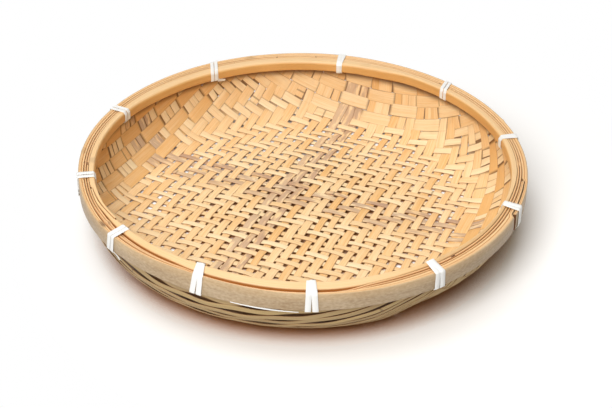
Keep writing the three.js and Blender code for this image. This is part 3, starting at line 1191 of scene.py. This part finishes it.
def lofted(name, rows, marks, grains):
    """A closed mesh through rows of points, each row a closed outline, with numbers for its material."""
    size = len(rows[0])
    faces = []
    for row in range(len(rows) - 1):
        for spot in range(size):
            beside = (spot + 1) % size
            first = row * size
            second = first + size
            faces.append((first + spot, first + beside, second + beside, second + spot))
    faces.append(tuple(range(size)))
    faces.append(tuple(range((len(rows) - 1) * size, len(rows) * size)))
    mesh = bpy.data.meshes.new(name)
    mesh.from_pydata([spot for row in rows for spot in row], [], faces)
    for attribute, numbers in (("marks", marks), ("grain", grains)):
        layer = mesh.attributes.new(attribute, "FLOAT_VECTOR", "POINT")
        layer.data.foreach_set("vector", [part for number in numbers for part in number])
    shell = bmesh.new()
    shell.from_mesh(mesh)
    bmesh.ops.recalc_face_normals(shell, faces=shell.faces)
    shell.to_mesh(mesh)
    shell.free()
    return mesh


@dataclass
class Station:
    """One cross section of a hoop: its turn along the strip, its faces and how deep it lies in a cut end."""

    turn: float
    inside: float
    outside: float
    cut: float = 0


def lapped_stations(inside, outside):
    """Cross sections of a strip bent into a hoop, thinned at both ends where it laps over itself."""
    lap = SCARF_LENGTH / outside
    low = inside + SCARF_TIP
    high = outside - SCARF_TIP - SCARF_GAP
    shares = [step / SCARF_STATIONS for step in range(SCARF_STATIONS + 1)]
    step_turn = (math.tau - lap) / HOOP_STATIONS
    stations = [Station(0, inside, low, 1)]
    for share in shares:
        stations.append(Station(share * lap + END_TURN, inside, low + (high - low) * share))
    for step in range(1, HOOP_STATIONS):
        stations.append(Station(lap + step * step_turn, inside, outside))
    for share in shares:
        lapped = low + (high - low) * share + SCARF_GAP
        stations.append(Station(math.tau + share * lap - END_TURN, lapped, outside))
    stations.append(Station(math.tau + lap, high + SCARF_GAP, outside, 1))
    return stations


def ring_stations(inside, outside):
    """Cross sections of a thin strip bent into a ring whose ends nearly meet."""
    gap = FILLER_END_GAP / outside
    turns = [gap + (math.tau - 2 * gap) * step / FILLER_STATIONS for step in range(FILLER_STATIONS + 1)]
    return [Station(turn, inside, outside) for turn in turns]


def node_at(azimuth, radius, nodes):
    """How much a hoop swells at a place round the rim for a node near it, and how dark its ring is there."""
    swell, ring = 0.0, 0.0
    for node, darkness in nodes.items():
        away = abs(math.remainder(azimuth - math.radians(node), math.tau)) * radius
        swell += math.exp(-((away / NODE_REACH) ** 2))
        ring += math.exp(-(((away - NODE_REACH) / NODE_RING) ** 2)) * darkness
    return swell, ring


def hoop_mesh(name, stations, start, corners, nodes, sway):
    """A bent strip through its stations, run clockwise from its start. Its corners are those of a section of
    full thickness, its nodes are places round the rim with their darkness, and the sway is how far its top
    edge rises."""
    rows, marks, grains = [], [], []
    chance = random.Random(name)
    seed = chance.random()
    phases = [chance.uniform(0, math.tau) for _ in SWAY_WAVES]
    outline = filleted(corners, HOOP_ROUNDING)
    inside = min(corner.across for corner in corners)
    outside = max(corner.across for corner in corners)
    bottom = min(corner.up for corner in corners)
    top = max(corner.up for corner in corners)
    for station in stations:
        azimuth = start - station.turn
        radius = (station.inside + station.outside) / 2
        waves = sum(math.sin(azimuth * count + phase) for count, phase in zip(SWAY_WAVES, phases))
        swing = waves / len(SWAY_WAVES)
        swell, ring = node_at(azimuth, radius, nodes)
        row = []
        run = 0.0
        for place, corner in outline:
            share = (place.x - inside) / (outside - inside)
            level = (place.y - bottom) / (top - bottom)
            outward = station.inside + (station.outside - station.inside) * share
            outward += swell * NODE_SWELL * (1 if share > 0.5 else -1)
            lifted = place.y + swing * sway * level + swell * NODE_RISE * (level - 0.5)
            spot = Vector((outward * math.cos(azimuth), outward * math.sin(azimuth), lifted))
            if row:
                run += (spot - row[-1]).length
            row.append(spot)
            dark = max(ring * max(0, 1 - NODE_FADE * corner.face), station.cut)
            marks.append((corner.face, dark, max(station.cut, corner.groove_shade)))
            grains.append((station.turn * radius, run, seed))
        rows.append(row)
    mesh = lofted(name, rows, marks, grains)
    settle(mesh)
    soften(mesh, angle=40)
    return mesh


def outer_hoop_mesh():
    """The outer hoop, skin outwards, with a grooved top."""
    face = RIM_RADIUS
    back = OUTER_HOOP_INSIDE
    corners = [
        Corner(back, OUTER_HOOP_BOTTOM, 0.0003, groove_shade=1),
        Corner(face - 0.0003, OUTER_HOOP_BOTTOM, 0.0006, face=1),
        Corner(face, (OUTER_HOOP_BOTTOM + RIM_TOP) / 2, 0.0001, face=1),
        Corner(face - 0.0002, RIM_TOP, 0.0005, face=0.7),
        Corner(face - 0.001, RIM_TOP + 0.0001, 0.0001, groove_shade=0.25),
        Corner(face - 0.002, RIM_TOP, 0.0003, groove_shade=0.1),
        Corner(face - 0.0024, RIM_TOP - 0.0007, 0.0001, groove_shade=0.8),
        Corner(face - 0.0028, RIM_TOP - 0.0002, 0.0003),
        Corner(back, RIM_TOP - 0.0003, 0.0003),
        Corner(back, RIM_TOP - 0.0014, 0.0001, groove_shade=1),
    ]
    stations = lapped_stations(back, face)
    start = math.radians(OUTER_SCARF_END) + SCARF_LENGTH / RIM_RADIUS
    return hoop_mesh("outer_hoop_bent", stations, start, corners, OUTER_HOOP_NODES, sway=0.0002)


def inner_hoop_mesh():
    """The inner hoop, with a broadly rounded inner top edge."""
    face = INNER_HOOP_INSIDE
    back = INNER_HOOP_OUTSIDE
    corners = [
        Corner(back, INNER_HOOP_BOTTOM, 0.0003, groove_shade=1),
        Corner(back, RIM_TOP - 0.0014, 0.0001, groove_shade=1),
        Corner(back, RIM_TOP - 0.0002, 0.0004),
        Corner(face + 0.0014, RIM_TOP, 0.0014),
        Corner(face, RIM_TOP - 0.0016, 0.0012, face=1),
        Corner(face, INNER_HOOP_BOTTOM + 0.0012, 0.0009, face=1),
        Corner(face + 0.001, INNER_HOOP_BOTTOM, 0.0006, face=1),
    ]
    stations = lapped_stations(face, back)
    start = math.radians(INNER_SCARF_END) + SCARF_LENGTH / INNER_HOOP_OUTSIDE
    return hoop_mesh("inner_hoop_bent", stations, start, corners, INNER_HOOP_NODES, sway=0.00025)


def filler_mesh(node_name, end_azimuth):
    """A thin upright strip between the hoops, whose ends meet at a place round the rim."""
    packed_inside, packed_outside = ring_radii(node_name)
    inside = packed_inside + FILLER_SLACK
    outside = packed_outside - FILLER_SLACK
    top = RIM_TOP - FILLER_DROP
    corners = [
        Corner(inside, FILLER_BOTTOM, 0.0001, groove_shade=1),
        Corner(outside, FILLER_BOTTOM, 0.0001, groove_shade=1),
        Corner(outside, top - 0.0008, 0.0001, groove_shade=1),
        Corner(outside, top, 0.0002, groove_shade=0.85),
        Corner(inside, top, 0.0003),
        Corner(inside, top - 0.0008, 0.0001, groove_shade=1),
    ]
    stations = ring_stations(inside, outside)
    return hoop_mesh(node_name + "_bent", stations, end_azimuth, corners, FILLER_NODES, sway=0.0003)


def rim_route(sizes):
    """Where the middle of a tie's band runs round the rim, as distances from the axis and heights: from the
    mat under the outer hoop, up and over the rim, and back into the mat under the inner hoop."""
    away = sizes.band_thickness / 2 + BAND_PLAY
    mat_middle = MAT_RADIUS - sizes.weave_middle
    corners = [
        Corner(mat_middle, OUTER_HOOP_BOTTOM - away, 0.0001),
        Corner(RIM_RADIUS + away, OUTER_HOOP_BOTTOM - away, 0.0008),
        Corner(RIM_RADIUS + away, RIM_TOP + away, 0.001),
        Corner(INNER_HOOP_INSIDE + 0.001, RIM_TOP + away, 0.0018),
        Corner(INNER_HOOP_INSIDE - away, RIM_TOP - 0.0016, 0.0013),
        Corner(INNER_HOOP_INSIDE - away, INNER_HOOP_BOTTOM + 0.0004, 0.001),
        Corner(INNER_HOOP_INSIDE + 0.0008, INNER_HOOP_BOTTOM - away, 0.001),
        Corner(mat_middle, INNER_HOOP_BOTTOM - away, 0.0001),
    ]
    return [spot for spot, _ in filleted(corners, BAND_ROUNDING)]


@dataclass
class Spot:
    """One cross section of a flat band: its middle, its directions across and out, and its width."""

    middle: Vector
    across: Vector
    out: Vector
    width: float


def band_mesh(spots, thickness, seed):
    """A flat band with rounded edges through its spots."""
    rows, grains = [], []
    run = 0.0
    for index, spot in enumerate(spots):
        run += (spot.middle - spots[max(0, index - 1)].middle).length
        row = []
        for side, up in BAND_SECTION:
            aside = side * spot.width / 2
            row.append(spot.middle + spot.across * aside + spot.out * (up * thickness / 2))
            grains.append((run, aside, seed))
        rows.append(row)
    return lofted("band", rows, [(0, 0, 0)] * len(grains), grains)


def tie_strands(azimuth, lay, sizes):
    """Spots of both turns of one tie. They part on the hoop's face and close up towards the inside."""
    route = rim_route(sizes)
    turn = Matrix.Rotation(azimuth, 3, "Z")
    width = min(sizes.band_width, lay.breadth / 2 - TURN_PLAY - lay.slit / 2)
    lap = 0 if lay.slit else TURN_LAP
    for side in (-0.5, 0.5):
        spots = []
        for index, place in enumerate(route):
            ahead = (route[min(len(route) - 1, index + 1)] - route[max(0, index - 1)]).normalized()
            out = Vector((ahead.y, 0, -ahead.x))
            inward = share_between(place.x, RIM_RADIUS, INNER_HOOP_INSIDE)
            low = rise(RIM_TOP - place.y, 0, RIM_TOP - OUTER_HOOP_BOTTOM) * (1 - inward)
            closed = width + lay.slit - TURN_CLOSING - lap * inward
            between = closed + (lay.breadth - width - closed) * low
            aside = lay.shift + lay.slant * inward + side * between
            raised = LAP_RAISE * (side + 0.5) * rise(width - between, 0, LAP_RAISED_OVER)
            middle = Vector((place.x, aside, place.y)) + out * raised
            spots.append(Spot(turn @ middle, turn @ Vector((0, 1, 0)), turn @ out, width))
        yield spots


def rim_spot(azimuth, radius, height):
    """A point of the rim from its place round it in degrees, its distance from the axis and its height."""
    turn = math.radians(azimuth)
    return Vector((radius * math.cos(turn), radius * math.sin(turn), height))


def loose_end(first, last, across, widths, steps=8):
    """Spots of a band's end that runs along the rim between two places, each given as in rim_spot, with its
    width at the first place, halfway and at the last."""
    places = [Vector(first).lerp(Vector(last), step / steps) for step in range(steps + 1)]
    middles = [rim_spot(*place) for place in places]
    spots = []
    for index, middle in enumerate(middles):
        ahead = (middles[min(steps, index + 1)] - middles[max(0, index - 1)]).normalized()
        out = ahead.cross(across).normalized()
        half = 2 * index / steps
        width = widths[0] + (widths[1] - widths[0]) * min(1, half)
        width += (widths[2] - widths[1]) * max(0, half - 1)
        spots.append(Spot(middle, out.cross(ahead).normalized(), out, width))
    return spots


def loose_ends():
    """Spots of the ends of three ties: one tucked along under the hoop in front, and two short stubs."""
    up = Vector((0, 0, 1))
    face = RIM_RADIUS + 0.0003
    under = OUTER_HOOP_BOTTOM
    tucked_from = (-90.6, face, under - 0.0006)
    tucked_to = (-106.6, face, under + 0.0008)
    yield loose_end(tucked_from, tucked_to, up, (0.0003, 0.001, 0.0003), 20)

    left_front = -141.8
    round_rim = Vector((-math.sin(math.radians(left_front)), math.cos(math.radians(left_front)), 0))
    stub_from = (left_front, face, under + 0.0005)
    stub_to = (left_front + 0.6, face - 0.003, under - 0.0045)
    yield loose_end(stub_from, stub_to, round_rim, (0.0032, 0.003, 0.0026))

    inside = INNER_HOOP_INSIDE + 0.0004
    stub_from = (117.4, inside, INNER_HOOP_BOTTOM)
    stub_to = (114.8, inside + 0.002, INNER_HOOP_BOTTOM - 0.0025)
    yield loose_end(stub_from, stub_to, up, (0.0026, 0.0022, 0.0016))


def ties_mesh(sizes):
    """All ties of the rim and their loose ends as one mesh."""
    bands = []
    for azimuth, lay in zip(TIE_AZIMUTHS, TIE_LAYS):
        bands.extend(tie_strands(azimuth, lay, sizes))
    bands.extend(loose_ends())
    shell = bmesh.new()
    for order, spots in enumerate(bands):
        band = band_mesh(spots, sizes.band_thickness, order / len(bands))
        shell.from_mesh(band)
        bpy.data.meshes.remove(band)
    mesh = bpy.data.meshes.new("ties_white")
    shell.to_mesh(mesh)
    shell.free()
    settle(mesh)
    soften(mesh, angle=40)
    return mesh


class TRAY_OT_mat(bpy.types.Operator):
    """Weave the warp and the weft into a mat and bend up its walls"""

    bl_idname = "tray.mat"
    bl_label = "Weave the mat"

    def execute(self, context):
        sizes = context.scene.tray_sizes
        colours = context.scene.tray_colours
        looks = {
            WARP: split_bamboo("golden_split", colours.warp_pale, colours.warp_deep, colours),
            WEFT: split_bamboo("cream_split", colours.weft_pale, colours.weft_deep, colours),
        }
        tree = weave_tree(sizes.stations)
        for family, other in ((WARP, WEFT), (WEFT, WARP)):
            name = f"{family.name}_woven"
            points = points_with(f"{name}_points", strip_columns(family, sizes))
            values = weave_values(family, other, sizes, looks[family])
            piece = grown_piece(context, name, points, tree, values)
            settle(piece.data)
            soften(piece.data, angle=35)
            place(piece, f"{family.name}_split", node_names(f"{family.name}_"))
        return {"FINISHED"}


class TRAY_OT_rim(bpy.types.Operator):
    """Bend the two hoops and the two fillers between them"""

    bl_idname = "tray.rim"
    bl_label = "Bend the rim"

    def execute(self, context):
        colours = context.scene.tray_colours
        skin_colours = (colours.hoop_skin_pale, colours.hoop_skin_deep)
        core_colours = (colours.hoop_face_pale, colours.hoop_face_deep)
        skin = hoop_bamboo("skin_bamboo", *skin_colours, speckle=1.5, colours=colours)
        core = hoop_bamboo("core_bamboo", *core_colours, speckle=0.3, colours=colours)
        inner_filler = filler_mesh("inner_filler", math.radians(INNER_FILLER_END))
        outer_filler = filler_mesh("outer_filler", math.radians(OUTER_FILLER_END))
        pieces = {
            "outer_hoop": (outer_hoop_mesh(), "hoop_skin", skin),
            "inner_hoop": (inner_hoop_mesh(), "hoop_core", core),
            "inner_filler": (inner_filler, "hoop_core", core),
            "outer_filler": (outer_filler, "hoop_core", core),
        }
        for node_name, (mesh, slot, material) in pieces.items():
            mesh.materials.append(material)
            place(link_piece(context, mesh.name, mesh), slot, [node_name])
        return {"FINISHED"}


class TRAY_OT_ties(bpy.types.Operator):
    """Tie the rim with pairs of white flat band"""

    bl_idname = "tray.ties"
    bl_label = "Tie the rim"

    def execute(self, context):
        mesh = ties_mesh(context.scene.tray_sizes)
        mesh.materials.append(tie_plastic(context.scene.tray_colours))
        piece = link_piece(context, mesh.name, mesh)
        place(piece, "tie_band", node_names("tie_"))
        return {"FINISHED"}


def soft_lamp(context, name, spot, size, power):
    """A round soft lamp that shines on the middle of the tray."""
    lamp = bpy.data.lights.new(name, "AREA")
    lamp.shape = "DISK"
    lamp.size = size
    lamp.energy = power
    holder = bpy.data.objects.new(name, lamp)
    holder.location = spot
    holder.rotation_euler = (-Vector(spot)).to_track_quat("-Z", "Y").to_euler()
    context.scene.collection.objects.link(holder)


def shown_rays(tree):
    """1 for rays that show the background: from the camera, in a reflection or through something clear."""
    path = add_node(tree, "ShaderNodeLightPath")
    camera, glossy, clear = (
        Field(tree, path.outputs[ray]) for ray in ("Is Camera Ray", "Is Glossy Ray", "Is Transmission Ray")
    )
    return camera.math("MAXIMUM", glossy).math("MAXIMUM", clear)


def white_floor():
    """Matt floor that shows white wherever no shadow falls on it, with a warm shade close under the bamboo.
    For rays that only carry light it is a plain pale floor."""
    material, tree, shader = new_material("studio_floor")
    shader.inputs["Roughness"].default_value = 0.9
    shader.inputs["Specular IOR Level"].default_value = 0.0
    from_above = 1 - Field(tree, tree.nodes.new("ShaderNodeNewGeometry").outputs["Backfacing"])
    seen = shown_rays(tree) * from_above
    x, y, _ = parts_of(tree, tree.nodes.new("ShaderNodeTexCoord").outputs["Object"])

    values = {"Distance": SHADE_REACH}
    cover = add_node(tree, "ShaderNodeAmbientOcclusion", values, samples=SHADE_SAMPLES)
    openness = Field(tree, cover.outputs["AO"]).ramp(SHADE_FROM, SHADE_TO)
    at_back = (y - x * BACK_SLANT).ramp(BACK_FROM, BACK_TO)
    shade = blended(tree, at_back, WARM_SHADE, BACK_SHADE)
    shown = blended(tree, openness, shade, SHOWN_FLOOR)
    feed(tree, shader.inputs["Base Color"], blended(tree, seen, LIGHT_FLOOR, shown))

    from_shadow_x = x - SHADOW_X
    from_shadow_y = y - SHADOW_Y
    from_shadow = (from_shadow_x * from_shadow_x + from_shadow_y * from_shadow_y).math("SQRT")
    glow = add_node(tree, "ShaderNodeEmission", {"Color": (*WHITE, 1), "Strength": 1.0})
    fade = seen * from_shadow.ramp(SHADOW_FADES_FROM, SHADOW_FADES_TO)
    mix = add_node(tree, "ShaderNodeMixShader", {"Fac": fade})
    tree.links.new(shader.outputs["BSDF"], mix.inputs[1])
    tree.links.new(glow.outputs["Emission"], mix.inputs[2])
    tree.links.new(mix.outputs["Shader"], tree.nodes["Material Output"].inputs["Surface"])
    return material


def white_room():
    """A world that shows white and throws a little warm light back."""
    world = bpy.data.worlds.new("studio")
    world.use_nodes = True
    tree = world.node_tree
    sky = tree.nodes["Background"]
    seen = shown_rays(tree)
    feed(tree, sky.inputs["Color"], blended(tree, seen, ROOM_COLOUR, WHITE))
    feed(tree, sky.inputs["Strength"], seen * (1 - ROOM_LIGHT) + ROOM_LIGHT)
    return world


class TRAY_OT_stage(bpy.types.Operator):
    """Set up the floor, the soft light and the camera"""

    bl_idname = "tray.stage"
    bl_label = "Set the stage"

    def execute(self, context):
        scene = context.scene
        scene.view_settings.view_transform = "Standard"

        sheet = bpy.data.meshes.new("floor")
        half = FLOOR_HALF
        corners = [(-half, -half, 0), (half, -half, 0), (half, half, 0), (-half, half, 0)]
        sheet.from_pydata(corners, [], [(0, 1, 2, 3)])
        sheet.materials.append(white_floor())
        link_piece(context, "floor", sheet)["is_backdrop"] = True

        scene.world = white_room()
        soft_lamp(context, "key", spot=(-0.5, -1.38, 1.55), size=1.5, power=37.7)
        soft_lamp(context, "top", spot=(-0.15, 0.45, 1.9), size=1.7, power=17.2)

        lens = bpy.data.cameras.new("camera")
        lens.lens = CAMERA_LENS
        lens.sensor_width = CAMERA_SENSOR
        camera = bpy.data.objects.new("camera", lens)
        turn = Matrix.Rotation(math.radians(90 - CAMERA_PITCH), 4, "X")
        roll = Matrix.Rotation(math.radians(CAMERA_ROLL), 4, "Z")
        camera.matrix_world = Matrix.Translation(CAMERA_PLACE) @ turn @ roll
        scene.collection.objects.link(camera)
        scene.camera = camera
        return {"FINISHED"}


class TRAY_PT_panel(bpy.types.Panel):
    """Steps of the tray in the order they are made"""

    bl_idname = "TRAY_PT_panel"
    bl_label = "Bamboo tray"
    bl_space_type = "VIEW_3D"
    bl_region_type = "UI"
    bl_category = "Tray"

    def draw(self, context):
        for step in STEPS:
            self.layout.operator(step.bl_idname)


STEPS = (TRAY_OT_mat, TRAY_OT_rim, TRAY_OT_ties, TRAY_OT_stage)
CLASSES = (TraySizes, TrayColours, *STEPS, TRAY_PT_panel)


def register():
    for kind in CLASSES:
        bpy.utils.register_class(kind)
    bpy.types.Scene.tray_sizes = PointerProperty(type=TraySizes)
    bpy.types.Scene.tray_colours = PointerProperty(type=TrayColours)


def unregister():
    del bpy.types.Scene.tray_sizes
    del bpy.types.Scene.tray_colours
    for kind in reversed(CLASSES):
        bpy.utils.unregister_class(kind)


def main():
    register()
    bpy.ops.tray.mat()
    bpy.ops.tray.rim()
    bpy.ops.tray.ties()
    bpy.ops.tray.stage()
    boxes = {"cad": cad_box, "visual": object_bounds()}
    {name: [list(corner) for corner in box] for name, box in boxes.items()}


if __name__ == "__main__":
    main()
